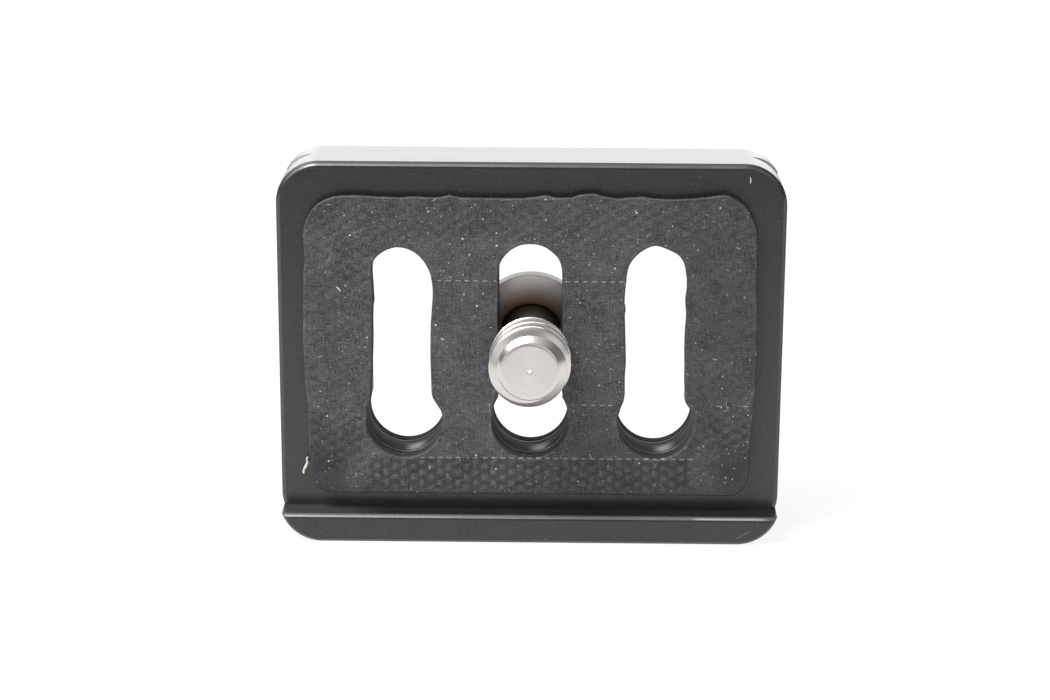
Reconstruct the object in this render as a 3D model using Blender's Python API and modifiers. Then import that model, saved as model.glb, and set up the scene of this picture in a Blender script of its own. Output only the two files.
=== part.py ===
"""Quick-release camera plate: a machined plate with a dovetail down each side and an anti-twist lip
along its lower edge, a textured rubber pad let into its face, and a captive camera screw that slides
along the middle one of three keyhole slots.

The plate stands on its lower edge. X runs along the plate, Y runs from the camera side to the back,
and Z is up. The origin is in the middle of the lower edge, in the plane of the metal face.
"""

import math

import bmesh
import bpy
from mathutils import Matrix

MM = 0.001

# Plate blank
PLATE_WIDTH = 39.0 * MM
PLATE_HEIGHT = 29.9 * MM
PLATE_THICKNESS = 6.5 * MM
CORNER_RADIUS = 3.3 * MM
FACE_CHAMFER = 0.32 * MM
BACK_CHAMFER = 0.7 * MM

# Anti-twist lip along the lower edge
LIP_THICKNESS = 2.3 * MM
LIP_PROJECTION = 2.2 * MM
LIP_CHAMFER = 0.25 * MM

# Dovetail down each side, measured from the back face and from the side of the rim
FLANGE_EDGE = 1.2 * MM
FLANGE_INSET = 0.4 * MM
GROOVE_DEPTH = 2.5 * MM
GROOVE_FLAT = 0.2 * MM

# Keyhole slots: a straight slot with a wider tapped hole at its lower end. The outer slots are placed
# from the plate's sides, the upper ends from its top and the tapped holes from its lower edge.
SLOT_COUNT = 3
SLOT_WIDTH = 5.0 * MM
SLOT_FROM_SIDE = 9.75 * MM
SLOT_FROM_TOP = 8.6 * MM
TAPPED_HOLE_HEIGHT = 9.54 * MM
THREAD_ENGAGEMENT = 0.175 * MM

# Pocket in the back, which lets the screw's head sit below the back face
POCKET_DEPTH = 2.0 * MM
POCKET_CLEARANCE = 0.25 * MM

# Rubber pad, let into a shallow recess in the face
PAD_FROM_SIDE = 2.1 * MM
PAD_FROM_TOP = 2.4 * MM
PAD_ABOVE_LIP = 1.3 * MM
PAD_TOP_RADIUS = 3.1 * MM
PAD_BOTTOM_RADIUS = 2.0 * MM
PAD_PROUD = 0.9 * MM
PAD_EDGE_ROUND = 0.3 * MM
PAD_SLOT_OVERHANG = 0.25 * MM
RECESS_DEPTH = 0.6 * MM
BOND_GAP = 0.3 * MM

# Captive camera screw
THREAD_DIAMETER = 6.25 * MM
THREAD_LENGTH = 4.0 * MM
THREAD_RUNOUT = 0.5 * MM
TIP_CHAMFER = 0.92 * MM
TIP_DIMPLE_DIAMETER = 0.6 * MM
TIP_DIMPLE_DEPTH = 0.2 * MM
SCREW_STICK_OUT = 5.0 * MM
SCREW_RISE = 5.66 * MM
NECK_CLEARANCE = 0.2 * MM
HEAD_DIAMETER = 9.2 * MM
HEAD_CHAMFER = 0.2 * MM
HEAD_BELOW_BACK = 0.1 * MM
COIN_SLOT_WIDTH = 1.6 * MM
COIN_SLOT_DEPTH = 0.7 * MM
HEX_SOCKET_WIDTH = 3.0 * MM
HEX_SOCKET_DEPTH = 2.0 * MM

# Friction washer between the head and the web
WASHER_THICKNESS = 0.4 * MM
WASHER_RIM = 0.05 * MM
WASHER_BORE_CLEARANCE = 0.1 * MM
RUNNING_GAP = 0.05 * MM

# Roundness of arcs and turned pieces
CORNER_STEPS = 12
SLOT_END_STEPS = 20
TURNED_STEPS = 64
PAD_ROUND_STEPS = 3

# How far a cutter runs past the faces that it cuts
OVERRUN = 3.0 * MM
MERGE_DISTANCE = 0.001 * MM

# Sizes that follow from those above
BACK_Y = PLATE_THICKNESS
WEB_BACK_Y = BACK_Y - POCKET_DEPTH
FLANGE_TOP_Y = BACK_Y - FLANGE_EDGE
GROOVE_ROOT_Y = FLANGE_TOP_Y - (GROOVE_DEPTH - FLANGE_INSET)
RIM_BACK_Y = GROOVE_ROOT_Y - GROOVE_FLAT
OUTER_SLOT_X = PLATE_WIDTH / 2 - SLOT_FROM_SIDE
SLOT_TOP_HEIGHT = PLATE_HEIGHT - SLOT_FROM_TOP
TAPPED_HOLE_DIAMETER = THREAD_DIAMETER - 2 * THREAD_ENGAGEMENT
PAD_HALF_WIDTH = PLATE_WIDTH / 2 - PAD_FROM_SIDE
PAD_BOTTOM = LIP_THICKNESS + PAD_ABOVE_LIP
PAD_TOP = PLATE_HEIGHT - PAD_FROM_TOP
PAD_FRONT_Y = -PAD_PROUD
PAD_BACK_Y = RECESS_DEPTH - BOND_GAP
SCREW_HEIGHT = TAPPED_HOLE_HEIGHT + SCREW_RISE
TIP_Y = PAD_FRONT_Y - SCREW_STICK_OUT
NECK_DIAMETER = SLOT_WIDTH - 2 * NECK_CLEARANCE
WASHER_FRONT_Y = WEB_BACK_Y + RUNNING_GAP
HEAD_FRONT_Y = WASHER_FRONT_Y + WASHER_THICKNESS + RUNNING_GAP
HEAD_BACK_Y = BACK_Y - HEAD_BELOW_BACK


def clear_scene():
    for old in list(bpy.data.objects):
        bpy.data.objects.remove(old, do_unlink=True)


def new_collection(name):
    collection = bpy.data.collections.new(name)
    bpy.context.scene.collection.children.link(collection)
    return collection


def principled(name, colour, roughness, metallic=0.0):
    material = bpy.data.materials.new(name)
    material.use_nodes = True
    shader = material.node_tree.nodes["Principled BSDF"]
    shader.inputs["Base Color"].default_value = (*colour, 1.0)
    shader.inputs["Roughness"].default_value = roughness
    shader.inputs["Metallic"].default_value = metallic
    return material


def add_piece(name, mesh, material):
    """A visible sub-part of the camera plate."""
    mesh.name = name
    mesh.materials.clear()
    mesh.materials.append(material)
    piece = bpy.data.objects.new(name, mesh)
    parts.objects.link(piece)
    return piece


def add_cutter(name, mesh):
    """A shape that only takes material away."""
    mesh.name = name
    cutter = bpy.data.objects.new(name, mesh)
    cutter.hide_render = True
    cutter.display_type = "WIRE"
    cutters.objects.link(cutter)
    return cutter


def cut(piece, cutter):
    boolean = piece.modifiers.new(cutter.name, "BOOLEAN")
    boolean.operation = "DIFFERENCE"
    boolean.object = cutter


def evaluated_mesh(thing):
    bpy.context.view_layer.update()
    graph = bpy.context.evaluated_depsgraph_get()
    return bpy.data.meshes.new_from_object(thing.evaluated_get(graph))


def arc(centre, radius, start, end, steps):
    """Points of an arc, its angles in degrees, anticlockwise from +X."""
    cx, cy = centre
    points = []
    for i in range(steps + 1):
        angle = math.radians(start + (end - start) * i / steps)
        points.append((cx + radius * math.cos(angle), cy + radius * math.sin(angle)))
    return points


def rounded_rectangle(half_width, bottom, top, bottom_radius, top_radius):
    corners = (
        (half_width - bottom_radius, bottom + bottom_radius, bottom_radius, -90),
        (half_width - top_radius, top - top_radius, top_radius, 0),
        (-half_width + top_radius, top - top_radius, top_radius, 90),
        (-half_width + bottom_radius, bottom + bottom_radius, bottom_radius, 180),
    )
    points = []
    for x, z, radius, start in corners:
        points += arc((x, z), radius, start, start + 90, CORNER_STEPS)
    return points


def keyhole(x, slot_width, hole_diameter):
    """A slot with a round upper end, which opens into a wider round hole at its lower end."""
    half_slot = slot_width / 2
    hole_radius = hole_diameter / 2
    mouth = math.degrees(math.asin(min(half_slot / hole_radius, 1.0)))
    upper = arc((x, SLOT_TOP_HEIGHT), half_slot, 0, 180, SLOT_END_STEPS)
    lower = arc((x, TAPPED_HOLE_HEIGHT), hole_radius, 90 + mouth, 450 - mouth, 2 * SLOT_END_STEPS)
    return upper + lower


def slot_places():
    """(index from the middle slot, X) of each slot."""
    middle = (SLOT_COUNT - 1) / 2
    return [(i - middle, (i - middle) / middle * OUTER_SLOT_X) for i in range(SLOT_COUNT)]


def extruded(outline, start, end, along="Y"):
    """Mesh of a flat outline, which runs from start to end along one axis. The outline's points are
    (Y, Z) where it runs along X, (X, Z) along Y and (X, Y) along Z."""
    curve = bpy.data.curves.new("outline", "CURVE")
    curve.dimensions = "2D"
    curve.fill_mode = "BOTH"
    curve.extrude = (end - start) / 2
    spline = curve.splines.new("POLY")
    spline.points.add(len(outline) - 1)
    for point, (u, v) in zip(spline.points, outline):
        point.co = (u, v, 0.0, 1.0)
    spline.use_cyclic_u = True
    thing = bpy.data.objects.new("outline", curve)
    parts.objects.link(thing)
    mesh = evaluated_mesh(thing)
    bpy.data.objects.remove(thing)
    bpy.data.curves.remove(curve)

    middle = (start + end) / 2
    if along == "X":
        place = Matrix.Translation((middle, 0, 0)) @ Matrix.Rotation(math.radians(120), 4, (1, 1, 1))
    elif along == "Y":
        place = Matrix.Translation((0, middle, 0)) @ Matrix.Rotation(math.radians(90), 4, "X")
    else:
        place = Matrix.Translation((0, 0, middle))
    mesh.transform(place)
    tidy(mesh)
    return mesh


def tidy(mesh):
    """Joins the caps to the sides, makes each flat face one polygon and turns all faces outwards."""
    bm = bmesh.new()
    bm.from_mesh(mesh)
    bmesh.ops.remove_doubles(bm, verts=bm.verts, dist=MERGE_DISTANCE)
    bmesh.ops.dissolve_limit(bm, angle_limit=math.radians(0.5), verts=bm.verts, edges=bm.edges)
    bmesh.ops.recalc_face_normals(bm, faces=bm.faces)
    bm.to_mesh(mesh)
    bm.free()


def bevel_edges(mesh, plane_y, width, steps=1, above_z=-math.inf):
    """Bevels the edges that lie in the plane at plane_y and reach above above_z."""
    bm = bmesh.new()
    bm.from_mesh(mesh)
    edges = []
    for edge in bm.edges:
        in_plane = all(at(vert.co.y, plane_y) for vert in edge.verts)
        if in_plane and max(vert.co.z for vert in edge.verts) > above_z + MERGE_DISTANCE:
            edges.append(edge)
    bmesh.ops.bevel(
        bm,
        geom=edges,
        offset=width,
        offset_type="OFFSET",
        segments=steps,
        profile=0.5,
        affect="EDGES",
        clamp_overlap=True,
    )
    bmesh.ops.recalc_face_normals(bm, faces=bm.faces)
    bm.to_mesh(mesh)
    bm.free()


def box(low, high):
    bm = bmesh.new()
    bmesh.ops.create_cube(bm, size=1.0)
    for vert in bm.verts:
        vert.co = [low[k] + (vert.co[k] + 0.5) * (high[k] - low[k]) for k in range(3)]
    mesh = bpy.data.meshes.new("box")
    bm.to_mesh(mesh)
    bm.free()
    return mesh


def at(value, wanted):
    return abs(value - wanted) < MERGE_DISTANCE


def smooth(piece, angle):
    piece.data.shade_smooth()
    piece.data.set_sharp_from_angle(angle=math.radians(angle))


def milling_cutter():
    """What is milled off the face above the lip, with the chamfer along the lip's front edge."""
    top = PLATE_HEIGHT + OVERRUN
    front = -LIP_PROJECTION - OVERRUN
    profile = [
        (0, LIP_THICKNESS),
        (0, top),
        (front, top),
        (front, LIP_THICKNESS - LIP_CHAMFER - OVERRUN),
        (-LIP_PROJECTION + LIP_CHAMFER, LIP_THICKNESS),
    ]
    mesh = extruded(profile, -PLATE_WIDTH, PLATE_WIDTH, along="X")
    return add_cutter("cut_above_lip", mesh)


def plate_blank():
    """The rounded block, milled back above the lip and chamfered, before the slots and grooves."""
    outline = rounded_rectangle(PLATE_WIDTH / 2, 0, PLATE_HEIGHT, CORNER_RADIUS, CORNER_RADIUS)
    mesh = extruded(outline, -LIP_PROJECTION, BACK_Y)
    bevel_edges(mesh, BACK_Y, BACK_CHAMFER)
    bevel_edges(mesh, -LIP_PROJECTION, LIP_CHAMFER)
    block = bpy.data.objects.new("block", mesh)
    parts.objects.link(block)
    cut(block, milling_cutter())
    blank = evaluated_mesh(block)
    bpy.data.objects.remove(block)
    tidy(blank)
    bevel_edges(blank, 0, FACE_CHAMFER, above_z=LIP_THICKNESS)
    return blank


def dovetail_cutter(side):
    """The undercut down one side: square under the rim, and at 45 degrees on the flange."""
    rim_x = PLATE_WIDTH / 2
    root_x = rim_x - GROOVE_DEPTH
    flange_x = rim_x - FLANGE_INSET
    outside_x = rim_x + OVERRUN
    profile = [
        (side * outside_x, RIM_BACK_Y),
        (side * root_x, RIM_BACK_Y),
        (side * root_x, GROOVE_ROOT_Y),
        (side * flange_x, FLANGE_TOP_Y),
        (side * flange_x, BACK_Y + OVERRUN),
        (side * outside_x, BACK_Y + OVERRUN),
    ]
    name = "cut_dovetail_right" if side > 0 else "cut_dovetail_left"
    return add_cutter(name, extruded(profile, -OVERRUN, PLATE_HEIGHT + OVERRUN, along="Z"))


def make_plate_body():
    body = add_piece("plate_body", plate_blank(), black_anodised)
    for side in (-1, 1):
        cut(body, dovetail_cutter(side))

    recess = rounded_rectangle(
        PAD_HALF_WIDTH + BOND_GAP,
        PAD_BOTTOM - BOND_GAP,
        PAD_TOP + BOND_GAP,
        PAD_BOTTOM_RADIUS + BOND_GAP,
        PAD_TOP_RADIUS + BOND_GAP,
    )
    cut(body, add_cutter("cut_pad_recess", extruded(recess, -OVERRUN, RECESS_DEPTH)))

    head_room = HEAD_DIAMETER / 2 + POCKET_CLEARANCE
    pocket = rounded_rectangle(
        OUTER_SLOT_X + head_room,
        TAPPED_HOLE_HEIGHT - head_room,
        SLOT_TOP_HEIGHT + head_room,
        head_room,
        head_room,
    )
    cut(body, add_cutter("cut_head_pocket", extruded(pocket, WEB_BACK_Y, BACK_Y + OVERRUN)))

    for index, x in slot_places():
        outline = keyhole(x, SLOT_WIDTH, TAPPED_HOLE_DIAMETER)
        slot = extruded(outline, -OVERRUN, BACK_Y + OVERRUN)
        cut(body, add_cutter(f"cut_slot_{index:+.0f}", slot))
    smooth(body, 30)
    return body


def make_rubber_pad():
    outline = rounded_rectangle(
        PAD_HALF_WIDTH, PAD_BOTTOM, PAD_TOP, PAD_BOTTOM_RADIUS, PAD_TOP_RADIUS
    )
    mesh = extruded(outline, PAD_FRONT_Y, PAD_BACK_Y)
    bevel_edges(mesh, PAD_FRONT_Y, PAD_EDGE_ROUND, PAD_ROUND_STEPS)
    pad = add_piece("rubber_pad", mesh, black_rubber)
    for index, x in slot_places():
        # The rubber hangs over the edge of the outer slots. The screw keeps it back in the middle one.
        overhang = 0.0 if index == 0 else PAD_SLOT_OVERHANG
        outline = keyhole(x, SLOT_WIDTH - 2 * overhang, TAPPED_HOLE_DIAMETER)
        opening = extruded(outline, -OVERRUN, RECESS_DEPTH + OVERRUN)
        cut(pad, add_cutter(f"cut_pad_slot_{index:+.0f}", opening))
    smooth(pad, 30)
    return pad


def turned(name, profile, closed, material):
    """A piece turned about local Z from (radius, height) points that run down its outer side."""
    mesh = bpy.data.meshes.new(name)
    bm = bmesh.new()
    verts = [bm.verts.new((radius, 0, height)) for radius, height in profile]
    for first, second in zip(verts, verts[1:]):
        bm.edges.new((first, second))
    if closed:
        bm.edges.new((verts[-1], verts[0]))
    bm.to_mesh(mesh)
    bm.free()
    piece = add_piece(name, mesh, material)
    screw = piece.modifiers.new("turn", "SCREW")
    screw.axis = "Z"
    screw.angle = math.tau
    screw.steps = TURNED_STEPS
    screw.render_steps = TURNED_STEPS
    screw.use_merge_vertices = True
    screw.merge_threshold = MERGE_DISTANCE
    screw.use_smooth_shade = False
    return piece


def height_of(y):
    """Height along a turned piece, whose local Z points from the back of the plate to the front."""
    return -y


def make_camera_screw():
    thread_radius = THREAD_DIAMETER / 2
    neck_radius = NECK_DIAMETER / 2
    head_radius = HEAD_DIAMETER / 2
    thread_end_y = TIP_Y + THREAD_LENGTH
    profile = [
        (0.0, height_of(TIP_Y + TIP_DIMPLE_DEPTH)),
        (TIP_DIMPLE_DIAMETER / 2, height_of(TIP_Y)),
        (thread_radius - TIP_CHAMFER, height_of(TIP_Y)),
        (thread_radius, height_of(TIP_Y + TIP_CHAMFER)),
        (thread_radius, height_of(thread_end_y - THREAD_RUNOUT)),
        (neck_radius, height_of(thread_end_y)),
        (neck_radius, height_of(HEAD_FRONT_Y)),
        (head_radius - HEAD_CHAMFER, height_of(HEAD_FRONT_Y)),
        (head_radius, height_of(HEAD_FRONT_Y + HEAD_CHAMFER)),
        (head_radius, height_of(HEAD_BACK_Y - HEAD_CHAMFER)),
        (head_radius - HEAD_CHAMFER, height_of(HEAD_BACK_Y)),
        (0.0, height_of(HEAD_BACK_Y)),
    ]
    screw = turned("camera_screw", profile, False, stainless_steel)
    cut(screw, coin_slot_cutter())
    cut(screw, hex_socket_cutter())
    return screw


def coin_slot_cutter():
    reach = HEAD_DIAMETER / 2 + OVERRUN
    slot = box(
        (-reach, HEAD_BACK_Y - COIN_SLOT_DEPTH, SCREW_HEIGHT - COIN_SLOT_WIDTH / 2),
        (reach, HEAD_BACK_Y + OVERRUN, SCREW_HEIGHT + COIN_SLOT_WIDTH / 2),
    )
    return add_cutter("cut_coin_slot", slot)


def hex_socket_cutter():
    depth = HEX_SOCKET_DEPTH + OVERRUN
    bm = bmesh.new()
    bmesh.ops.create_cone(
        bm,
        cap_ends=True,
        segments=6,
        radius1=HEX_SOCKET_WIDTH / math.sqrt(3),
        radius2=HEX_SOCKET_WIDTH / math.sqrt(3),
        depth=depth,
    )
    mesh = bpy.data.meshes.new("hex")
    bm.to_mesh(mesh)
    bm.free()
    middle_y = HEAD_BACK_Y - HEX_SOCKET_DEPTH + depth / 2
    place = Matrix.Translation((0, middle_y, SCREW_HEIGHT))
    mesh.transform(place @ Matrix.Rotation(math.radians(90), 4, "X"))
    return add_cutter("cut_hex_socket", mesh)


def make_friction_washer():
    outer = HEAD_DIAMETER / 2 + WASHER_RIM
    inner = NECK_DIAMETER / 2 + WASHER_BORE_CLEARANCE
    front = height_of(WASHER_FRONT_Y)
    back = height_of(WASHER_FRONT_Y + WASHER_THICKNESS)
    profile = [(inner, front), (outer, front), (outer, back), (inner, back)]
    return turned("friction_washer", profile, True, spring_steel)


def mount_on_screw_axis(pieces):
    """Hangs the sliding and turning pieces on an empty in the screw's axis."""
    axis = bpy.data.objects.new("screw_axis", None)
    axis.location = (0, 0, SCREW_HEIGHT)
    parts.objects.link(axis)
    for piece in pieces:
        piece.parent = axis
        piece.rotation_euler = (math.radians(90), 0, 0)


clear_scene()
parts = new_collection("camera_plate")
cutters = new_collection("cutters")
black_anodised = principled("black_anodised", (0.035, 0.035, 0.038), 0.3, 0.6)
black_rubber = principled("black_rubber", (0.045, 0.045, 0.047), 0.75)
stainless_steel = principled("stainless_steel", (0.62, 0.6, 0.57), 0.25, 1.0)
spring_steel = principled("spring_steel", (0.5, 0.48, 0.45), 0.35, 1.0)

plate_body = make_plate_body()
rubber_pad = make_rubber_pad()
rubber_pad.parent = plate_body
mount_on_screw_axis([make_friction_washer(), make_camera_screw()])
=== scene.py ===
import math
import random

import bmesh
import bpy
from mathutils import Matrix, Vector
from mathutils.geometry import delaunay_2d_cdt
from mathutils.kdtree import KDTree


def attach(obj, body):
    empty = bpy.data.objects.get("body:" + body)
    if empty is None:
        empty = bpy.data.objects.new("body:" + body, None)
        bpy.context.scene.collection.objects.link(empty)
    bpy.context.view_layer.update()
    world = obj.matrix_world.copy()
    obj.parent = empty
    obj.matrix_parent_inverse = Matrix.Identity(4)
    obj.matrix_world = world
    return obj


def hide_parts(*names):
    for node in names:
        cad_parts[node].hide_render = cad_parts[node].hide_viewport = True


# A quick-release camera plate, standing on its lip edge on a white sweep.
# The plate stands upright: X along it, Y from the camera side to the back, Z up.

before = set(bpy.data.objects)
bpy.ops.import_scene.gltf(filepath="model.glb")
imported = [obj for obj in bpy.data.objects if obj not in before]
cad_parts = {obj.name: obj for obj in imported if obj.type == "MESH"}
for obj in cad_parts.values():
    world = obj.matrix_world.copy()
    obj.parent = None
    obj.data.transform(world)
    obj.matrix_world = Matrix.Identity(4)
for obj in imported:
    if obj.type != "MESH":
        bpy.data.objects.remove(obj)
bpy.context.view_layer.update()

MM = 0.001

# Plate
PLATE_WIDTH = 39.0
PLATE_HEIGHT = 29.9
BACK_Y = 6.5
CORNER_RADIUS = 3.3
FACE_CHAMFER = 0.32
BACK_CHAMFER = 0.7
LIP_THICKNESS = 2.3
LIP_PROJECTION = 2.2
LIP_CHAMFER = 0.25
FLANGE_TOP_Y = 5.3
FLANGE_INSET = 0.4
GROOVE_DEPTH = 2.5
GROOVE_ROOT_Y = 3.2
RIM_BACK_Y = 3.0
WEB_BACK_Y = 4.5
POCKET_CLEARANCE = 0.25
RECESS_DEPTH = 0.6

# Keyhole slots
SLOT_X = (-9.75, 0.0, 9.75)
SLOT_WIDTHS = (5.5, 5.0, 5.5)
SLOT_TOP_HEIGHT = 21.3
HOLE_HEIGHT = 9.54
HOLE_DIAMETER = 5.9

# Pad
PAD_HALF_WIDTH = 17.4
PAD_BOTTOM = 3.6
PAD_TOP = 27.5
PAD_BOTTOM_RADIUS = 2.0
PAD_TOP_RADIUS = 3.1
PAD_FRONT_Y = -0.9
PAD_BACK_Y = 0.3
PAD_INSET = 0.55
PAD_RECESS_GAP = 0.1
PRINT_PITCH_X = 0.6975
PRINT_PITCH_Z = 0.445
PRINT_DEPTH = 0.14

# Measured shape of the pad: how far its edge stands out from a true rounded rectangle, and its
# three openings, in mm. The right side of each opening runs down, its left side runs up.
PAD_TOP_WAVE = (
    (-14.3, -0.03), (-13.4, 0.01), (-12.5, -0.04), (-11.6, -0.1), (-9.8, -0.14), (-8.9, -0.05),
    (-7.9, -0.11), (-7.0, -0.12), (-6.2, 0.07), (-5.3, -0.11), (-3.4, -0.14), (-1.6, -0.14),
    (-0.6, -0.12), (0.3, -0.02), (1.1, 0.12), (2.0, -0.08), (3.0, -0.04), (3.9, 0.22), (4.8, 0.26),
    (5.7, 0.02), (6.6, -0.08), (7.6, 0.0), (8.4, 0.05), (9.4, -0.09), (10.7, -0.13), (12.1, -0.06),
    (13.0, 0.02), (13.9, 0.14), (14.8, 0.28), (15.6, 0.16))
PAD_SIDE_WAVE = (
    (3.6, -0.3, -0.25), (5.0, -0.3, -0.25), (6.7, -0.2, -0.26), (7.7, -0.19, -0.22),
    (8.7, -0.2, -0.17), (9.6, -0.15, -0.12), (10.6, -0.17, -0.07), (12.6, 0.03, 0.03),
    (13.5, 0.09, 0.0), (14.5, 0.07, 0.04), (15.5, 0.12, 0.09), (16.4, 0.14, 0.02),
    (17.4, 0.09, 0.03), (18.4, 0.07, 0.0), (19.3, 0.05, -0.03), (20.3, 0.03, -0.13),
    (21.2, 0.02, -0.16), (22.2, -0.08, -0.11), (23.1, -0.1, -0.14), (24.1, -0.04, -0.17))
LEFT_OPENING = (
    (-6.98, 10.5), (-7.3, 11.0), (-7.6, 11.6), (-7.66, 12.5), (-7.69, 13.7), (-7.72, 15.0),
    (-7.71, 16.0), (-7.67, 17.5), (-7.58, 18.7), (-7.52, 19.6), (-7.53, 20.3), (-7.61, 20.9),
    (-7.72, 21.4), (-7.93, 21.9), (-8.2, 22.35), (-8.54, 22.75), (-8.95, 23.07), (-9.5, 23.33),
    (-10.1, 23.43), (-10.6, 23.37), (-11.15, 23.14), (-11.65, 22.79), (-12.0, 22.35), (-12.13, 21.8),
    (-12.14, 21.1), (-12.09, 20.3), (-12.06, 19.5), (-12.03, 19.0), (-12.11, 18.5), (-12.14, 17.4),
    (-12.14, 16.2), (-12.17, 15.1), (-12.22, 14.0), (-12.27, 12.8), (-12.33, 11.9), (-12.44, 11.2),
    (-12.55, 10.7))
RIGHT_OPENING = (
    (12.46, 10.6), (12.2, 10.95), (11.98, 11.4), (11.99, 11.9), (11.94, 12.8), (11.93, 13.9),
    (11.89, 15.4), (11.9, 16.6), (11.95, 17.6), (11.97, 18.2), (11.9, 18.8), (11.89, 19.4),
    (11.97, 20.1), (11.96, 20.8), (11.88, 21.4), (11.78, 22.0), (11.58, 22.55), (11.2, 23.02),
    (10.7, 23.3), (10.2, 23.52), (9.8, 23.66), (9.4, 23.7), (8.95, 23.55), (8.5, 23.29),
    (8.1, 22.95), (7.72, 22.5), (7.48, 22.0), (7.36, 21.4), (7.31, 20.8), (7.24, 20.0),
    (7.21, 19.1), (7.3, 18.62), (7.24, 18.2), (7.28, 17.3), (7.32, 16.2), (7.36, 15.2),
    (7.38, 14.4), (7.32, 13.3), (7.33, 12.3), (7.33, 11.8), (7.24, 11.25), (7.05, 10.75),
    (6.96, 10.4))
MIDDLE_OPENING = (
    (2.88, 10.5), (2.8, 11.0), (2.55, 11.6), (2.44, 12.4), (2.46, 14.0), (2.42, 16.0), (2.45, 18.0),
    (2.41, 20.0), (2.4, 21.2), (2.33, 22.0), (2.1, 22.62), (1.7, 23.07), (1.15, 23.48),
    (0.55, 23.71), (-0.1, 23.76), (-0.75, 23.68), (-1.35, 23.4), (-1.8, 23.03), (-2.15, 22.6),
    (-2.38, 22.1), (-2.46, 21.4), (-2.43, 20.0), (-2.47, 18.0), (-2.42, 16.0), (-2.46, 14.0),
    (-2.45, 12.4), (-2.6, 11.6), (-2.82, 11.0), (-2.9, 10.5))

# Camera screw and its washer
SCREW_HEIGHT = 15.2
THREAD_DIAMETER = 6.25
THREAD_PITCH = 1.27
TIP_Y = -5.9
THREAD_END_Y = -1.9
THREAD_CREST_FLAT = 0.16
TIP_RADIUS = 2.2
NECK_DIAMETER = 4.6
HEAD_DIAMETER = 9.2
HEAD_FRONT_Y = 5.0
HEAD_BACK_Y = 6.4
COIN_SLOT_HALF_WIDTH = 0.8
COIN_SLOT_DEPTH = 0.7
HEX_SOCKET_RADIUS = 1.732
HEX_SOCKET_DEPTH = 2.0
WASHER_FRONT_Y = 4.55
WASHER_BACK_Y = 4.95

# Camera, in pixels, mm and degrees, and the room's plain light on everything
PHOTO_WIDTH = 1050
FOCAL_LENGTH = 2586
SENSOR_WIDTH = 36
CAMERA_PLACE = (-0.42, -191.8, 71.96)
CAMERA_TILT = 16.5
CAMERA_ROLL = 0.3
CAMERA_TURN = 0.65
WORLD_LEVEL = 0.3


def arc(centre, radius, start, end, steps):
    points = []
    for i in range(steps + 1):
        angle = math.radians(start + (end - start) * i / steps)
        points.append((centre[0] + radius * math.cos(angle), centre[1] + radius * math.sin(angle)))
    return points


def rounded_rectangle(half_width, bottom, top, bottom_radius, top_radius, steps=28):
    corners = (
        (half_width - bottom_radius, bottom + bottom_radius, bottom_radius, -90),
        (half_width - top_radius, top - top_radius, top_radius, 0),
        (-half_width + top_radius, top - top_radius, top_radius, 90),
        (-half_width + bottom_radius, bottom + bottom_radius, bottom_radius, 180),
    )
    points = []
    for x, z, radius, start in corners:
        points += arc((x, z), radius, start, start + 90, steps)
    return points


def keyhole(x, slot_width, hole_diameter, steps=40):
    half_slot = slot_width / 2
    hole_radius = hole_diameter / 2
    mouth = math.degrees(math.asin(min(half_slot / hole_radius, 1.0)))
    upper = arc((x, SLOT_TOP_HEIGHT), half_slot, 0, 180, steps)
    lower = arc((x, HOLE_HEIGHT), hole_radius, 90 + mouth, 450 - mouth, 2 * steps)
    return upper + lower


def filleted(points, radius, steps=4):
    """An open line of points with each inner corner rounded."""
    result = [points[0]]
    for before, corner, after in zip(points, points[1:], points[2:]):
        a, b, c = Vector(before), Vector(corner), Vector(after)
        to_a, to_c = (a - b).normalized(), (c - b).normalized()
        half = to_a.angle(to_c) / 2
        reach = min(radius / math.tan(half), (a - b).length * 0.45, (c - b).length * 0.45)
        start, end = b + to_a * reach, b + to_c * reach
        for i in range(steps + 1):
            t = i / steps
            result.append(tuple(start * (1 - t) ** 2 + b * 2 * t * (1 - t) + end * t ** 2))
    result.append(points[-1])
    return result


def smooth_between(p0, p1, p2, p3, t):
    """A point on the smooth curve through four points, from the second at 0 to the third at 1."""
    return 0.5 * ((2 * p1) + (p2 - p0) * t + (2 * p0 - 5 * p1 + 4 * p2 - p3) * t ** 2
                  + (3 * p1 - p0 - 3 * p2 + p3) * t ** 3)


def bridge(bm, first, second):
    """Faces between two rings with as many vertices."""
    for i in range(len(first)):
        j = (i + 1) % len(first)
        bm.faces.new((first[i], first[j], second[j], second[i]))


def tube(bm, rings):
    """A closed skin through rings of points."""
    rows = [[bm.verts.new(point) for point in ring] for ring in rings]
    for row, following in zip(rows, rows[1:]):
        bridge(bm, row, following)
    bm.faces.new(rows[0])
    bm.faces.new(rows[-1])


def mesh_from(bm):
    bmesh.ops.recalc_face_normals(bm, faces=bm.faces)
    mesh = bpy.data.meshes.new("made")
    bm.to_mesh(mesh)
    bm.free()
    return mesh


def solid(rings):
    bm = bmesh.new()
    tube(bm, rings)
    return mesh_from(bm)


def stacked(rings):
    """Closed solid through rings of (y, outline), in mm."""
    return solid([[(x, y, z) for x, z in outline] for y, outline in rings])


def add_object(name, data):
    thing = bpy.data.objects.new(name, data)
    bpy.context.scene.collection.objects.link(thing)
    return thing


def evaluated(thing):
    """A new mesh of the object with its modifiers applied."""
    bpy.context.view_layer.update()
    graph = bpy.context.evaluated_depsgraph_get()
    return bpy.data.meshes.new_from_object(thing.evaluated_get(graph))


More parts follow.
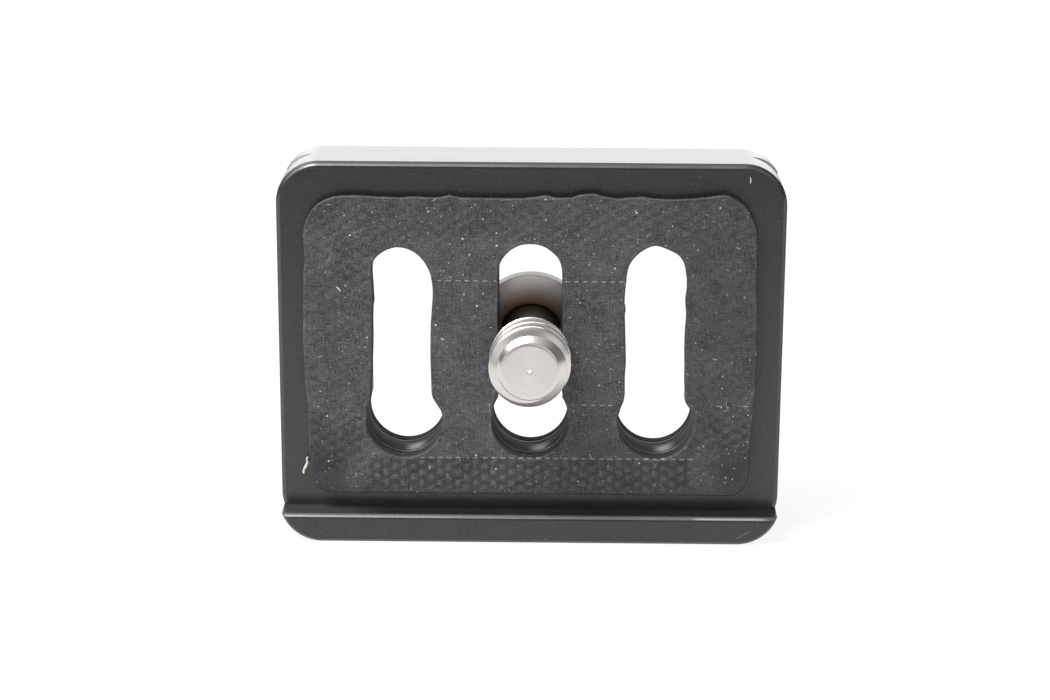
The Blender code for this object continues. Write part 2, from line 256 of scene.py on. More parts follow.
def combine(mesh, operation, *others):
    """The mesh after exact Booleans with other meshes, which are used up."""
    body = add_object("body", mesh)
    tools = [add_object("tool", other) for other in others]
    for tool in tools:
        boolean = body.modifiers.new("tool", "BOOLEAN")
        boolean.operation = operation
        boolean.solver = "EXACT"
        boolean.object = tool
    result = evaluated(body)
    for thing in [body] + tools:
        bpy.data.objects.remove(thing)
    return result


def piece(name, mesh, material, body, replaced=(), angle=None):
    """A finished piece of the plate. Its mesh was made in millimetres, in its place. With an angle, its
    edges are sharp above that many degrees and shaded by their faces' sizes."""
    mesh.transform(Matrix.Scale(MM, 4))
    mesh.name = name
    mesh.materials.clear()
    mesh.materials.append(material)
    thing = add_object(name, mesh)
    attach(thing, body)
    if replaced:
        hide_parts(*replaced)
    if angle is not None:
        mesh.shade_smooth()
        mesh.set_sharp_from_angle(angle=math.radians(angle))
        weighted = thing.modifiers.new("normals", "WEIGHTED_NORMAL")
        weighted.keep_sharp = True
        weighted.weight = 60
    return thing


class Field:
    """A value in a node tree. Its operators add Math nodes."""

    def __init__(self, socket):
        self.socket = socket
        self.tree = socket.id_data

    def math(self, operation, *others):
        return out(add(self.tree, "ShaderNodeMath", self, *others, operation=operation))

    def rule(operation):
        return lambda self, *others: self.math(operation, *others)

    __add__ = rule("ADD")
    __sub__ = rule("SUBTRACT")
    __mul__ = rule("MULTIPLY")
    __truediv__ = rule("DIVIDE")
    __abs__ = rule("ABSOLUTE")
    __lt__ = rule("LESS_THAN")
    __gt__ = rule("GREATER_THAN")
    either = rule("MAXIMUM")

    def __rsub__(self, other):
        return self * -1.0 + other

    def __neg__(self):
        return self * -1.0

    def clamped(self):
        """The same value, which a Math node has made, kept from 0 to 1."""
        self.socket.node.use_clamp = True
        return self


def put(socket, value):
    """Links the socket to a Field, or sets it to a plain value."""
    if isinstance(value, Field):
        socket.id_data.links.new(value.socket, socket)
    else:
        socket.default_value = value


def add(tree, kind, *values, **named):
    """A new node. The values go to its inputs in order. A name with a capital is an input too, with _
    for a space, and another name is a setting."""
    made = tree.nodes.new(kind)
    for key, value in named.items():
        if key[0].islower():
            setattr(made, key, value)
    for socket, value in zip(made.inputs, values):
        put(socket, value)
    for key, value in named.items():
        if key[0].isupper():
            put(made.inputs[key.replace("_", " ")], value)
    return made


def out(made, key=0):
    return Field(made.outputs[key])


def by_name(made):
    return {socket.name: Field(socket) for socket in made.outputs}


def axes(vector):
    return [Field(socket) for socket in add(vector.tree, "ShaderNodeSeparateXYZ", vector).outputs]


def millimetres(vector):
    return [axis * 1000.0 for axis in axes(vector)]


def ramp(value, low, high):
    """0 below low, 1 above high, smooth between."""
    return out(add(value.tree, "ShaderNodeMapRange", interpolation_type="SMOOTHSTEP",
                   Value=value, From_Min=low, From_Max=high), "Result")


def window(value, low, high, soft):
    """1 where the value lies from low to high, with soft ends."""
    return (ramp(value, low - soft, low + soft) - ramp(value, high - soft, high + soft)).clamped()


def blend(factor, first, second):
    """From the first number to the second."""
    return (second - first) * factor + first


def mix(factor, first, second):
    """From the first colour to the second."""
    made = add(factor.tree, "ShaderNodeMix", data_type="RGBA", Factor=factor)
    sockets = {socket.identifier: socket for socket in made.inputs}
    for name, value in (("A_Color", first), ("B_Color", second)):
        put(sockets[name], value if isinstance(value, Field) else (*value, 1))
    return Field(next(socket for socket in made.outputs if socket.identifier == "Result_Color"))


def noise(vector, scale, detail=2.0, roughness=0.5):
    return out(add(vector.tree, "ShaderNodeTexNoise", Vector=vector, Scale=scale, Detail=detail,
                   Roughness=roughness), "Fac")


def distance(point, centre):
    """The distance in mm of a point from a centre that is given in mm."""
    made = add(point.tree, "ShaderNodeVectorMath", point, [value * MM for value in centre],
               operation="DISTANCE")
    return out(made, "Value") * 1000.0


def object_point(tree, centre=(0, 0, 0)):
    """Object coordinates, with a Mapping node that centres them at a point in mm."""
    place = add(tree, "ShaderNodeTexCoord")
    return out(add(tree, "ShaderNodeMapping", Vector=out(place, "Object"),
                   Location=[-value * MM for value in centre]), "Vector")


def use(group, vector, **values):
    """Places a shared group, and gives its outputs by name."""
    return by_name(add(vector.tree, "ShaderNodeGroup", vector, node_tree=group, **values))


def new_group(name, numbers, outputs):
    """A shader group that takes a Vector and numbers, and gives numbers."""
    tree = bpy.data.node_groups.new(name, "ShaderNodeTree")
    tree.interface.new_socket("Vector", in_out="INPUT", socket_type="NodeSocketVector")
    for label, default in numbers.items():
        socket = tree.interface.new_socket(label, in_out="INPUT", socket_type="NodeSocketFloat")
        socket.default_value = default
    for label in outputs:
        tree.interface.new_socket(label, in_out="OUTPUT", socket_type="NodeSocketFloat")
    given = [Field(socket) for socket in add(tree, "NodeGroupInput").outputs[:-1]]
    return tree, given, add(tree, "NodeGroupOutput").inputs


def make_grain_group():
    """Fine mottling of a surface: a height and a tone from 0 to 1."""
    tree, (vector, scale, contrast), end = new_group(
        "fine_grain", {"Scale": 8000.0, "Contrast": 1.0}, ("Height", "Tone"))
    fine = noise(vector, scale, 3.0, 0.6)
    broad = noise(vector, scale * 0.07)
    centred = broad * 0.24 + fine * 0.76 - 0.5
    put(end["Height"], fine)
    put(end["Tone"], (centred * (contrast * 2.0) + 0.5).clamped())
    return tree


def make_dust_group():
    """Sparse specks: a mask, and which of them are warm fluff."""
    tree, (vector, scale, share, size), end = new_group(
        "dust", {"Scale": 900.0, "Share": 0.1, "Size": 0.1}, ("Mask", "Warm"))
    cells = add(tree, "ShaderNodeTexVoronoi", Vector=vector, Scale=scale)
    parts = add(tree, "ShaderNodeSeparateColor", out(cells, "Color"))
    near = out(cells, "Distance") < size * (out(parts, 2) * 0.9 + 0.35)
    put(end["Mask"], near * (out(parts, 0) < share))
    put(end["Warm"], out(parts, 1) > 0.6)
    return tree


def make_turned_group():
    """Rings that a cutting tool leaves round the Y axis of a vector centred on it."""
    tree, (vector, spacing), end = new_group("turned_rings", {"Spacing": 0.00006}, ("Height", "Tone"))
    x, y, z = axes(vector)
    along = (y * 0.6 + (x * x + z * z).math("SQRT")) / spacing
    fine, wide = [out(add(tree, "ShaderNodeTexNoise", noise_dimensions="1D", W=along, Scale=scale,
                          Detail=detail), "Fac") for scale, detail in ((1.0, 3.0), (0.13, 1.0))]
    put(end["Height"], fine)
    put(end["Tone"], fine * 0.6 + wide * 0.4)
    return tree


def make_cloth_print_group():
    """The fine threads of the cloth that a rubber sheet was pressed against."""
    tree, (vector, scale), end = new_group("cloth_print", {"Scale": 1300.0}, ("Height", "Tone"))
    threads = []
    for stretch in ((1.0, 1.0, 7.0), (6.0, 1.0, 1.0)):
        stretched = add(tree, "ShaderNodeMapping", Vector=vector, Scale=stretch)
        threads.append(noise(out(stretched, "Vector"), scale, 3.0, 0.65))
    height = threads[0].either(threads[1])
    put(end["Height"], height)
    put(end["Tone"], ramp(height, 0.42, 0.72))
    return tree


fine_grain = make_grain_group()
dust = make_dust_group()
turned_rings = make_turned_group()
cloth_print = make_cloth_print_group()


def new_material(name, colour, roughness, metallic=0.0, ior=1.5):
    """A material, its tree and the inputs of its Principled shader."""
    material = bpy.data.materials.new(name)
    material.use_nodes = True
    shader = material.node_tree.nodes["Principled BSDF"].inputs
    put(shader["Base Color"], (*colour, 1))
    put(shader["Roughness"], roughness)
    put(shader["Metallic"], metallic)
    put(shader["IOR"], ior)
    return material, material.node_tree, shader


def bump(shader, height, strength, depth):
    made = add(height.tree, "ShaderNodeBump", Height=height, Strength=strength, Distance=depth)
    put(shader["Normal"], out(made, "Normal"))


def make_black_anodised():
    material, tree, shader = new_material("black_anodised", (0.019, 0.019, 0.021), 0.27, 0.0, 1.6)
    point = object_point(tree)
    grain = use(fine_grain, point, Scale=9000.0, Contrast=1.3)
    specks = use(dust, point, Scale=1150.0, Share=0.035, Size=0.075)
    x, y, z = millimetres(point)
    sideways, slope, upward = axes(out(add(tree, "ShaderNodeTexCoord"), "Normal"))
    lip = z < 3.0
    ground = mix(grain["Tone"], (0.0125, 0.0125, 0.014), (0.021, 0.021, 0.023))
    # the front chamfers: pale wear and a painted highlight, most of all at the lip's right end
    bevelled = window(-slope, 0.66, 0.76, 0.04) * ramp(upward, 0.2, 0.6) * (y < 0.5)
    light = window(lip * LIP_PROJECTION + y, 0.01, 0.14, 0.04)
    left_side = ramp(-x, -6.0, 17.0) * (1.0 - lip)
    right_end = window(x, 12.9, 18.3, 0.5) * (z < 2.6)
    corner = ramp(-sideways, 0.1, 0.4)
    wear_and_highlight = ramp(noise(point, 260.0, 3.0), 0.3, 0.7) * 0.14 + 0.05
    wear_and_highlight = (wear_and_highlight + left_side * 0.1 + right_end * 0.6 - corner * 0.14).clamped()
    ground = mix(wear_and_highlight * light * bevelled, ground, (0.34, 0.335, 0.335))
    # the rest of the chamfers and a band just inside them are painted as a dark reflection
    dark_reflection_band = window(z, 29.36, 29.75, 0.08).either(window(z, 1.92, 2.1, 0.05) * (y < -2.1))
    dark_reflection_band = dark_reflection_band * ramp(-slope, 0.9, 0.97)
    edges = ((1.0 - light) * bevelled * 0.75).either(dark_reflection_band)
    ground = mix(edges, ground, (0.003, 0.003, 0.003))
    # the lip's front face is a little darker
    ground = mix(lip * (y < -2.15) * 0.25, ground, (0.004, 0.004, 0.0045))
    # the dovetail grooves' upper ends are painted light grey, lifting the shade in them
    painted_light_groove_ends = ramp(z, 25.0, 27.0) * ramp(abs(x), 14.5, 16.0) * window(y, 1.5, 5.2, 0.1)
    painted_light_groove_ends = painted_light_groove_ends * ramp(abs(slope), 0.3, 0.5)
    ground = mix(painted_light_groove_ends * 0.7, ground, (0.3, 0.3, 0.3))
    # the lip's top is darker, and lighter at its left end
    ledge = ramp(upward, 0.85, 0.95) * lip * (z > 1.5)
    ledge_tone = mix(ramp(x, -15.5, -10.5), (0.036, 0.036, 0.037), (0.009, 0.009, 0.0095))
    ground = mix(ledge * 0.85, ground, ledge_tone)
    # one short scratch on the lip's face
    slanted = add(tree, "ShaderNodeMapping", vector_type="TEXTURE", Vector=point,
                  Location=(16.09 * MM, 0, 0.5 * MM), Rotation=(0, math.radians(-31.8), 0))
    along, aside = millimetres(out(slanted, "Vector"))[::2]
    scratch = window(along, 0.1, 1.4, 0.12) * window(aside, -0.02, 0.02, 0.015) * (y < -2.1)
    ground = mix(scratch * 0.5, ground, (0.22, 0.22, 0.22))
    # the bores and slots are painted dark as shade
    inside = window(y, 0.7, 4.4, 0.1) * (abs(x) < 13.5) * window(z, 6.2, 24.2, 0.05)
    ground = mix(inside, ground, (0.003, 0.003, 0.0035))
    # a highlight is painted as a pale patch right of the middle of each bore
    across_bore = x.math("WRAP", SLOT_X[2] / 2, SLOT_X[0] / 2)
    patch = window(across_bore, 0.2, 1.3, 0.5) * window(y, 1.0, 2.3, 0.4) * inside
    ground = mix(patch * 0.75, ground, (0.26, 0.26, 0.265))
    tint = mix(specks["Warm"], (0.42, 0.42, 0.41), (0.3, 0.17, 0.09))
    put(shader["Base Color"], mix(specks["Mask"], ground, tint))
    rough = grain["Tone"] * 0.07 + 0.235
    rough = blend(ramp(upward, 0.85, 0.95), rough, 0.25)
    rough = blend(edges, rough, 0.75)
    rough = blend(corner * bevelled, rough, 0.62)
    bored = ramp(y, 2.4, 3.0) * -0.4 + 0.76 - patch * 0.3
    rough = (inside * bored + rough).clamped()
    put(shader["Roughness"], (specks["Mask"] * 0.5 + rough).clamped())
    plain = 1.0 - ramp(upward, 0.6, 0.9)
    bump(shader, (specks["Mask"] * 2.0 + grain["Height"]) * plain, 0.35, 0.000004)
    return material


def make_pad_rubber():
    material, tree, shader = new_material("pad_rubber", (0.05, 0.052, 0.052), 0.62)
    point = object_point(tree)
    grain = use(fine_grain, point, Scale=9000.0, Contrast=2.8)
    threads = use(cloth_print, point, Scale=1375.0)
    specks = use(dust, point, Scale=1900.0, Share=0.2, Size=0.13)
    bloom = use(dust, point, Scale=4200.0, Share=0.16, Size=0.24)
    x, y, z = millimetres(point)
    # the print's high spots are greyer than its hollows, which are painted darker as shade
    tone = grain["Tone"] * 0.55 + threads["Tone"] * 0.45
    tone = tone * (ramp(-y, 0.77, 0.9) * 0.8 + 0.2)
    # the lower corners and the foot are smooth and dark, and the right side and the top a little darker
    corner = ramp(abs(x), 12.4, 15.4) * (1.0 - ramp(z, 5.5, 11.0))
    dark = corner.either(1.0 - ramp(z, 3.7, 4.5))
    dark = dark.either(ramp(x, 4.0, 15.0) * 0.4 + 0.11).either(ramp(z, 22.0, 26.0) * 0.32)
    tone = tone * (1.0 - dark * 0.7)
    ground = mix(tone, (0.003, 0.004, 0.0042), (0.111, 0.112, 0.111))
    # dashed ridges where the pressing cloth's weft lay over
    dashes = noise(point, 620.0, 1.0)
    lines = None
    for level, left, right, cut in ((6.61, -8.6, 12.9, 0.34), (20.88, -10.1, 12.0, 0.37),
                                    (10.99, 2.0, 17.0, 0.53)):
        line = z.math("COMPARE", level, 0.05) * window(x, left, right, 0.3)
        line = line * ramp(dashes, cut - 0.03, cut + 0.03)
        lines = line if lines is None else lines.either(line)
    weft = (x * (math.tau / PRINT_PITCH_X)).math("COSINE") + grain["Tone"]
    lines = lines * ramp(weft, -0.1, 0.9) * (y < -0.7)
    # a curved press mark at the upper left
    arc_mark = window(distance(point, (-11.3, -0.9, 20.6)), 4.46, 4.6, 0.05)
    arc_mark = arc_mark * window(x, -15.8, -11.2, 0.4) * (z > 21.0)
    arc_mark = arc_mark * ramp(dashes, 0.35, 0.6) * ramp(grain["Tone"], 0.35, 0.7)
    # a crease at the right, its groove painted dark as shade
    crease = window(distance(point, (13.2, -0.9, 14.4)), 2.56, 2.68, 0.06)
    crease = crease * window(z, 13.8, 17.2, 0.3) * (x > 13.0)
    ground = mix((lines * 0.9).either(arc_mark * 0.35), ground, (0.21, 0.21, 0.21))
    ground = mix(crease * 0.7, ground, (0.018, 0.018, 0.019))
    # the cut walls are painted dark as shade, darker than the face
    wall = ramp(y, -0.74, -0.66)
    ground = mix(wall * 0.93, ground, (0.005, 0.005, 0.0055))
    tint = mix(bloom["Warm"], (0.36, 0.37, 0.36), (0.27, 0.165, 0.1))
    put(shader["Base Color"], mix(specks["Mask"].either(bloom["Mask"] * 0.4), ground, tint))
    put(shader["Roughness"], blend(wall, tone * 0.16 + 0.54, 1.0))
    bump(shader, threads["Height"] * 1.4 + grain["Height"] + lines - crease, 0.9, 0.00003)
    return material


def make_turned_steel(name, colour, roughness, spacing, anisotropy):
    material, tree, shader = new_material(name, colour, roughness, 1.0)
    point = object_point(tree, (0, 0, SCREW_HEIGHT))
    rings = use(turned_rings, point, Spacing=spacing)
    x, y, z = millimetres(point)
    radius = (x * x + z * z).math("SQRT")
    tint = mix(rings["Tone"], [value * 0.8 for value in colour], colour)
    # the neck and round it are painted dark as shade from the slot
    neck = window(y, -1.5, 4.45, 0.12) * (radius > 1.9)
    tint = mix(neck, tint, (0.17, 0.15, 0.135))
    # the washer's face is painted brown, as a painted reflection of the thread
    warm_reflection = window(y, 4.4, 4.97, 0.03) * window(radius, 1.0, 3.5, 1.1) * (radius > 2.2)
    tint = mix(warm_reflection, tint, (0.4, 0.28, 0.2))
    # the rims of the head and the washer are darker and duller
    rim = ramp(radius, 4.52, 4.58) * ramp(y, 4.64, 4.68)
    tint = mix(rim, tint, [value * 0.2 for value in colour])
    # the small pip at the tip's centre is painted bright as a highlight, with a darker ring round it
    tip = y < -5.8
    pip_highlight = tip * (radius < 0.17)
    tint = mix(pip_highlight, tint, (0.98, 0.97, 0.95))
    tint = mix(tip * window(radius, 0.22, 0.27, 0.03) * 0.35, tint, (0.45, 0.42, 0.39))
    put(shader["Base Color"], tint)
    rough = rings["Tone"] * 0.1 + (roughness - 0.05) + rim * 0.3 + neck * 0.4
    put(shader["Roughness"], rough + pip_highlight * 0.25)
    put(shader["Anisotropic"], anisotropy)
    round_axis = out(add(tree, "ShaderNodeCombineXYZ", z, 0.0, -x))
    turned = add(tree, "ShaderNodeVectorTransform", round_axis, vector_type="VECTOR",
                 convert_from="OBJECT", convert_to="WORLD")
    put(shader["Tangent"], out(turned))
    bump(shader, rings["Height"], 0.06, 0.000003)
    return material


black_anodised = make_black_anodised()
pad_rubber = make_pad_rubber()
turned_steel = make_turned_steel("turned_stainless", (0.79, 0.755, 0.715), 0.23, 0.00011, 0.5)
washer_steel = make_turned_steel("washer_steel", (0.93, 0.895, 0.86), 0.33, 0.0003, 0.3)


def plate_outline(inset):
    return rounded_rectangle(PLATE_WIDTH / 2 - inset, inset, PLATE_HEIGHT - inset,
                             CORNER_RADIUS - inset, CORNER_RADIUS - inset)


def plate_solid():
    shape = filleted([(0, 1.2), (0, FACE_CHAMFER), (FACE_CHAMFER, 0), (BACK_Y - BACK_CHAMFER, 0),
                      (BACK_Y, BACK_CHAMFER), (BACK_Y, 1.8)], 0.09)
    return stacked([(y, plate_outline(inset)) for y, inset in shape])


def lip_solid():
    """The lip, run a little into the plate. Its sides lie a hair inside the plate's."""
    hair = 0.004
    shape = filleted([(-LIP_PROJECTION, 1.2), (-LIP_PROJECTION, LIP_CHAMFER + hair),
                      (-LIP_PROJECTION + LIP_CHAMFER, hair), (1.4, hair)], 0.08)
    block = stacked([(y, plate_outline(inset)) for y, inset in shape])
    front, back = -LIP_PROJECTION - 3, 2.5
    profile = filleted([(back, LIP_THICKNESS), (-LIP_PROJECTION + LIP_CHAMFER, LIP_THICKNESS),
                        (front, LIP_THICKNESS - LIP_CHAMFER - 3)], 0.08)
    profile += [(front, PLATE_HEIGHT + 3), (back, PLATE_HEIGHT + 3)]
    return combine(block, "DIFFERENCE", bar(profile, 30))


def bar(profile, reach):
    """Closed solid with a (y, z) profile, from X -reach to X reach, in mm."""
    return solid([[(x, y, z) for y, z in profile] for x in (-reach, reach)])


def dovetail_tool(side):
    rim = PLATE_WIDTH / 2
    root = rim - GROOVE_DEPTH
    flange = rim - FLANGE_INSET
    profile = filleted([(rim + 0.02, RIM_BACK_Y - 0.06), (rim - 0.06, RIM_BACK_Y), (root, RIM_BACK_Y),
                        (root, GROOVE_ROOT_Y), (flange, FLANGE_TOP_Y), (flange, BACK_Y + 2)], 0.06)
    profile += [(rim + 3, BACK_Y + 2), (rim + 3, RIM_BACK_Y - 0.5), (rim + 0.4, RIM_BACK_Y - 0.5)]
    return solid([[(side * x, y, z) for x, y in profile] for z in (-3, PLATE_HEIGHT + 3)])


def mouth(y_air, y_edge, y_end, radius, depth_sign=1, steps=4):
    """(y, offset) of a cutter's side: rounded outwards where it enters at y_edge."""
    hair = 0.003
    points = [(y_air, radius)]
    for i in range(steps + 1):
        angle = math.pi / 2 * i / steps
        points.append((y_edge + depth_sign * (radius - hair - radius * math.cos(angle)),
                       radius * (1 - math.sin(angle))))
    points.append((y_end, 0.0))
    return points


def pad_outline(inset, bottom_radius=PAD_BOTTOM_RADIUS, top_radius=PAD_TOP_RADIUS, steps=28):
    return rounded_rectangle(PAD_HALF_WIDTH - inset, PAD_BOTTOM + inset, PAD_TOP - inset,
                             bottom_radius, top_radius, steps)


def recess_tool():
    """The pad's recess. The pad's front half reaches over its edge."""
    inset = PAD_INSET - PAD_RECESS_GAP
    return stacked([(y, pad_outline(inset - d, PAD_BOTTOM_RADIUS + d, PAD_TOP_RADIUS - 0.3 + d))
                    for y, d in mouth(-3, 0, RECESS_DEPTH, 0.06)])


def pocket_tool():
    room = HEAD_DIAMETER / 2 + POCKET_CLEARANCE
    return stacked([(y, rounded_rectangle(
        SLOT_X[2] + room + d, HOLE_HEIGHT - room - d, SLOT_TOP_HEIGHT + room + d,
        room + d, room + d)) for y, d in mouth(BACK_Y + 3, BACK_Y, WEB_BACK_Y, 0.08, -1)])


def slot_tool(x, width):
    radius = 0.07
    front = mouth(-3, RECESS_DEPTH, RECESS_DEPTH + 1, radius)
    back = mouth(BACK_Y + 3, WEB_BACK_Y, WEB_BACK_Y - 1, radius, -1)
    return stacked([(y, keyhole(x, width + 2 * d, HOLE_DIAMETER + 2 * d))
                    for y, d in front + back[::-1]])


def tapped_tool(x):
    """The worn thread near the back of the bore, as a solid to cut away."""
    steps, rows = 96, 100
    low, high = 2.6, WEB_BACK_Y - 0.1
    first_line, spacing = 3.28, 0.8
    rings = []
    for i in range(rows + 1):
        y = low + (high - low) * i / rows
        edge = min(1, (y - low) / 0.35, (high - y) / 0.2)
        ring = []
        for j in range(steps):
            turn = math.tau * j / steps
            wave = 0.5 + 0.5 * math.cos(math.tau * ((y - first_line) / spacing - turn / math.tau))
            r = HOLE_DIAMETER / 2 - 0.05 + (0.1 * (1 - wave ** 4) + 0.045) * max(edge, 0)
            ring.append((x + r * math.cos(turn), y, HOLE_HEIGHT + r * math.sin(turn)))
        rings.append(ring)
    return solid(rings)


def body_mesh():
    tools = [dovetail_tool(-1), dovetail_tool(1), recess_tool(), pocket_tool()]
    tools += [slot_tool(x, width) for x, width in zip(SLOT_X, SLOT_WIDTHS)]
    mesh = combine(plate_solid(), "DIFFERENCE", *tools)
    mesh = combine(mesh, "DIFFERENCE", *[tapped_tool(x) for x in SLOT_X])
    return combine(mesh, "UNION", lip_solid())


def between(table, value, column=1):
    """The table's column at a value, eased between rows."""
    if value <= table[0][0]:
        return table[0][column]
    for low, high in zip(table, table[1:]):
        if value <= high[0]:
            return low[column] + (high[column] - low[column]) * fade(value, low[0], high[0])
    return table[-1][column]


def fade(value, low, high):
    t = min(max((value - low) / (high - low), 0), 1)
    return t * t * (3 - 2 * t)


def sides(loop):
    """Each point of a closed loop with the point after it."""
    return list(zip(loop, loop[1:] + loop[:1]))


def even_loop(points, spacing):
    """A closed smooth curve through the points, at an even spacing."""
    dense = []
    count = len(points)
    for i in range(count):
        four = [Vector(points[(i + k - 1) % count]) for k in range(4)]
        dense += [smooth_between(*four, j / 12) for j in range(12)]
    length = sum((b - a).length for a, b in sides(dense))
    steps = round(length / spacing)
    result, walked, target = [], 0.0, 0.0
    for a, b in sides(dense):
        side_length = (b - a).length
        while len(result) < steps and target <= walked + side_length:
            result.append(a + (b - a) * ((target - walked) / max(side_length, 1e-9)))
            target = len(result) * length / steps
        walked += side_length
    return result


def inward(loop, amount):
    """The loop moved to its left side, which is its material side."""
    moved = []
    for i, point in enumerate(loop):
        along = loop[(i + 1) % len(loop)] - loop[i - 1]
        moved.append(point + Vector((-along.y, along.x)).normalized() * amount)
    return moved


def pad_edge():
    outline = [Vector(point) for point in pad_outline(0, steps=7)]
    waved = []
    for a, b in sides(outline):
        # more points along the straight sides, for the waves
        cuts = max(1, round((b - a).length / 0.45))
        for p in [a + (b - a) * i / cuts for i in range(cuts)]:
            top = between(PAD_TOP_WAVE, p.x) * fade(p.y, PAD_TOP - 1.2, PAD_TOP - 0.1)
            side = between(PAD_SIDE_WAVE, p.y, 1 if p.x < 0 else 2) * fade(abs(p.x), 16.2, 17.3)
            waved.append((p.x + (side if p.x > 0 else -side), p.y + top))
    return even_loop(waved, 0.11)


def opening_edge(x, upper, start, end):
    """An opening's edge: the measured upper part and a round hole, clockwise round the hole."""
    lower = arc((x, HOLE_HEIGHT), HOLE_DIAMETER / 2, start, end, 26)[1:-1]
    return even_loop((list(upper) + lower)[::-1], 0.09)


def weave_strength(x, z):
    """How deep the woven print is: 1 in the band below the openings, little between them."""
    band = fade(12.9 - abs(x), 0, 0.5) * fade(z, 3.75, 4.2) * (1 - fade(z, 6.42, 6.6))
    top = 0.42 * fade(z, 22.5, 24.4)
    upper_left = 0.55 * fade(-x, 11.6, 12.6) * (1 - fade(-x, 15.6, 16.2)) * fade(z, 19.5, 20.8)
    upper_left *= 1 - fade(z, 24.2, 25.2)
    lower_left = 0.6 * fade(-x, 12.6, 13.2) * fade(z, 4.6, 5.6) * (1 - fade(z, 9.5, 10.8))
    left = 0.36 * fade(-x, 12.3, 12.8)
    right = 0.3 * fade(x, 11.9, 12.5) * (1 + fade(z, 7.0, 8.0) * (1 - fade(z, 10, 11)))
    rest = max(top, upper_left, lower_left, left, right, 0.24)
    rest *= 1 - fade(abs(x), 12.6, 13.4) * (1 - fade(z, 4.6, 5.8))
    return max(band, rest * (1 - band * 0.9))


def pad_depth(x, z):
    """Distance of the pad's front surface behind its nominal plane."""
    checks = 0.5 - 0.5 * math.cos(math.pi * x / PRINT_PITCH_X) * math.cos(math.pi * z / PRINT_PITCH_Z)
    bars = (0.5 - 0.5 * math.cos(math.tau * x / PRINT_PITCH_X)) ** 1.6
    below = 1 - fade(z, 6.4, 6.7)
    cell = round(x / PRINT_PITCH_X) * 12.99 + round(z / PRINT_PITCH_Z) * 78.23
    uneven = 0.7 + 0.6 * (math.sin(cell) * 437.58 % 1.0)
    shape = (0.9 - 0.25 * below) * checks + (0.1 + 0.2 * below) * bars ** 1.5
    return PRINT_DEPTH * weave_strength(x, z) * shape * (1 + (uneven - 1) * (1 - checks) ** 2)


def crossings(loops, z):
    """Where a level line crosses the loops, in order."""
    places = []
    for loop in loops:
        for a, b in sides(loop):
            if (a.y > z) != (b.y > z):
                places.append(a.x + (b.x - a.x) * (z - a.y) / (b.y - a.y))
    return sorted(places)


def closed_lines(loops):
    """The loops' points in one list, and the pairs of numbers that join them."""
    points, pairs = [], []
    for loop in loops:
        first = len(points)
        pairs += [(first + i, first + (i + 1) % len(loop)) for i in range(len(loop))]
        points += loop
    return points, pairs


def ring_of(bm, loop, y):
    return [bm.verts.new((point.x, y, point.y)) for point in loop]


def nearest_ring(outline, loop):
    """As many points as the loop has, evenly along the outline, from where the loop starts."""
    points = [Vector(p) for p in outline]
    length = [0.0]
    for a, b in sides(points):
        length.append(length[-1] + (b - a).length)
    ring = []
    for i in range(len(loop)):
        target = length[-1] * i / len(loop)
        k = 0
        while length[k + 1] < target:
            k += 1
        a, b = points[k], points[(k + 1) % len(points)]
        ring.append(a + (b - a) * ((target - length[k]) / max(length[k + 1] - length[k], 1e-9)))
    best = min(range(len(ring)), key=lambda i: (ring[i] - loop[0]).length)
    return ring[best:] + ring[:best]


def pad_mesh():
    """The pad as one closed skin: a woven front, a worn edge, and a narrower back in the recess."""
    loops = [pad_edge(), opening_edge(SLOT_X[0], LEFT_OPENING, 158, 380),
             opening_edge(SLOT_X[1], MIDDLE_OPENING, 161, 379),
             opening_edge(SLOT_X[2], RIGHT_OPENING, 162, 381)]
    places, constraints = closed_lines(loops)
    edge_count = len(places)
    depths = [0.22] * edge_count
    finder = KDTree(edge_count)
    for i, point in enumerate(places):
        finder.insert((point.x, point.y, 0), i)
    finder.balance()
    for inset, depth in ((0.015, 0.1), (0.045, 0.03), (0.08, 0.0), (0.13, -0.012), (0.2, 0.0)):
        for loop in loops:
            places += inward(loop, inset)
            depths += [depth] * len(loop)
    step_x, step_z, reach = 0.1395, 0.0989, 126
    for row in range(int((PAD_TOP + 0.4 - PAD_BOTTOM) / step_z)):
        z = PAD_BOTTOM + row * step_z
        lines = crossings(loops, z)
        for i in range(-reach, reach + 1):
            x = (i + 0.5 * (row % 2)) * step_x
            if sum(line < x for line in lines) % 2 and finder.find((x, z, 0))[2] >= 0.33:
                places.append(Vector((x, z)))
                depths.append(pad_depth(x, z))
    bm = bmesh.new()
    verts = [bm.verts.new((p.x, PAD_FRONT_Y + depth, p.y)) for p, depth in zip(places, depths)]
    for corners in delaunay_2d_cdt(places, constraints, [], 0, 1e-6, False)[2]:
        if max(corners) >= edge_count:
            bm.faces.new([verts[i] for i in corners])
    backs = []
    first = 0
    for loop in loops:
        chain = [verts[first:first + len(loop)]]
        first += len(loop)
        if loop is loops[0]:
            chain += [ring_of(bm, inward(loop, 0.2), -0.06), ring_of(bm, inward(loop, 0.24), -0.02)]
            loop = nearest_ring(pad_outline(PAD_INSET, top_radius=PAD_TOP_RADIUS - 0.4), loop)
            chain.append(ring_of(bm, loop, -0.02))
        chain.append(ring_of(bm, loop, PAD_BACK_Y))
        for a, b in zip(chain, chain[1:]):
            bridge(bm, a, b)
        backs.append(chain[-1])
    flat, limits = closed_lines(backs)
    back_loops = [[Vector((v.co.x, v.co.z)) for v in ring] for ring in backs]
    spots = sum(back_loops, [])
    for corners in delaunay_2d_cdt(spots, limits, [], 0, 1e-6, False)[2]:
        centre = sum((spots[i] for i in corners), Vector((0, 0))) / 3
        if sum(line < centre.x for line in crossings(back_loops, centre.y)) % 2:
            bm.faces.new([flat[i] for i in corners])
    return mesh_from(bm)


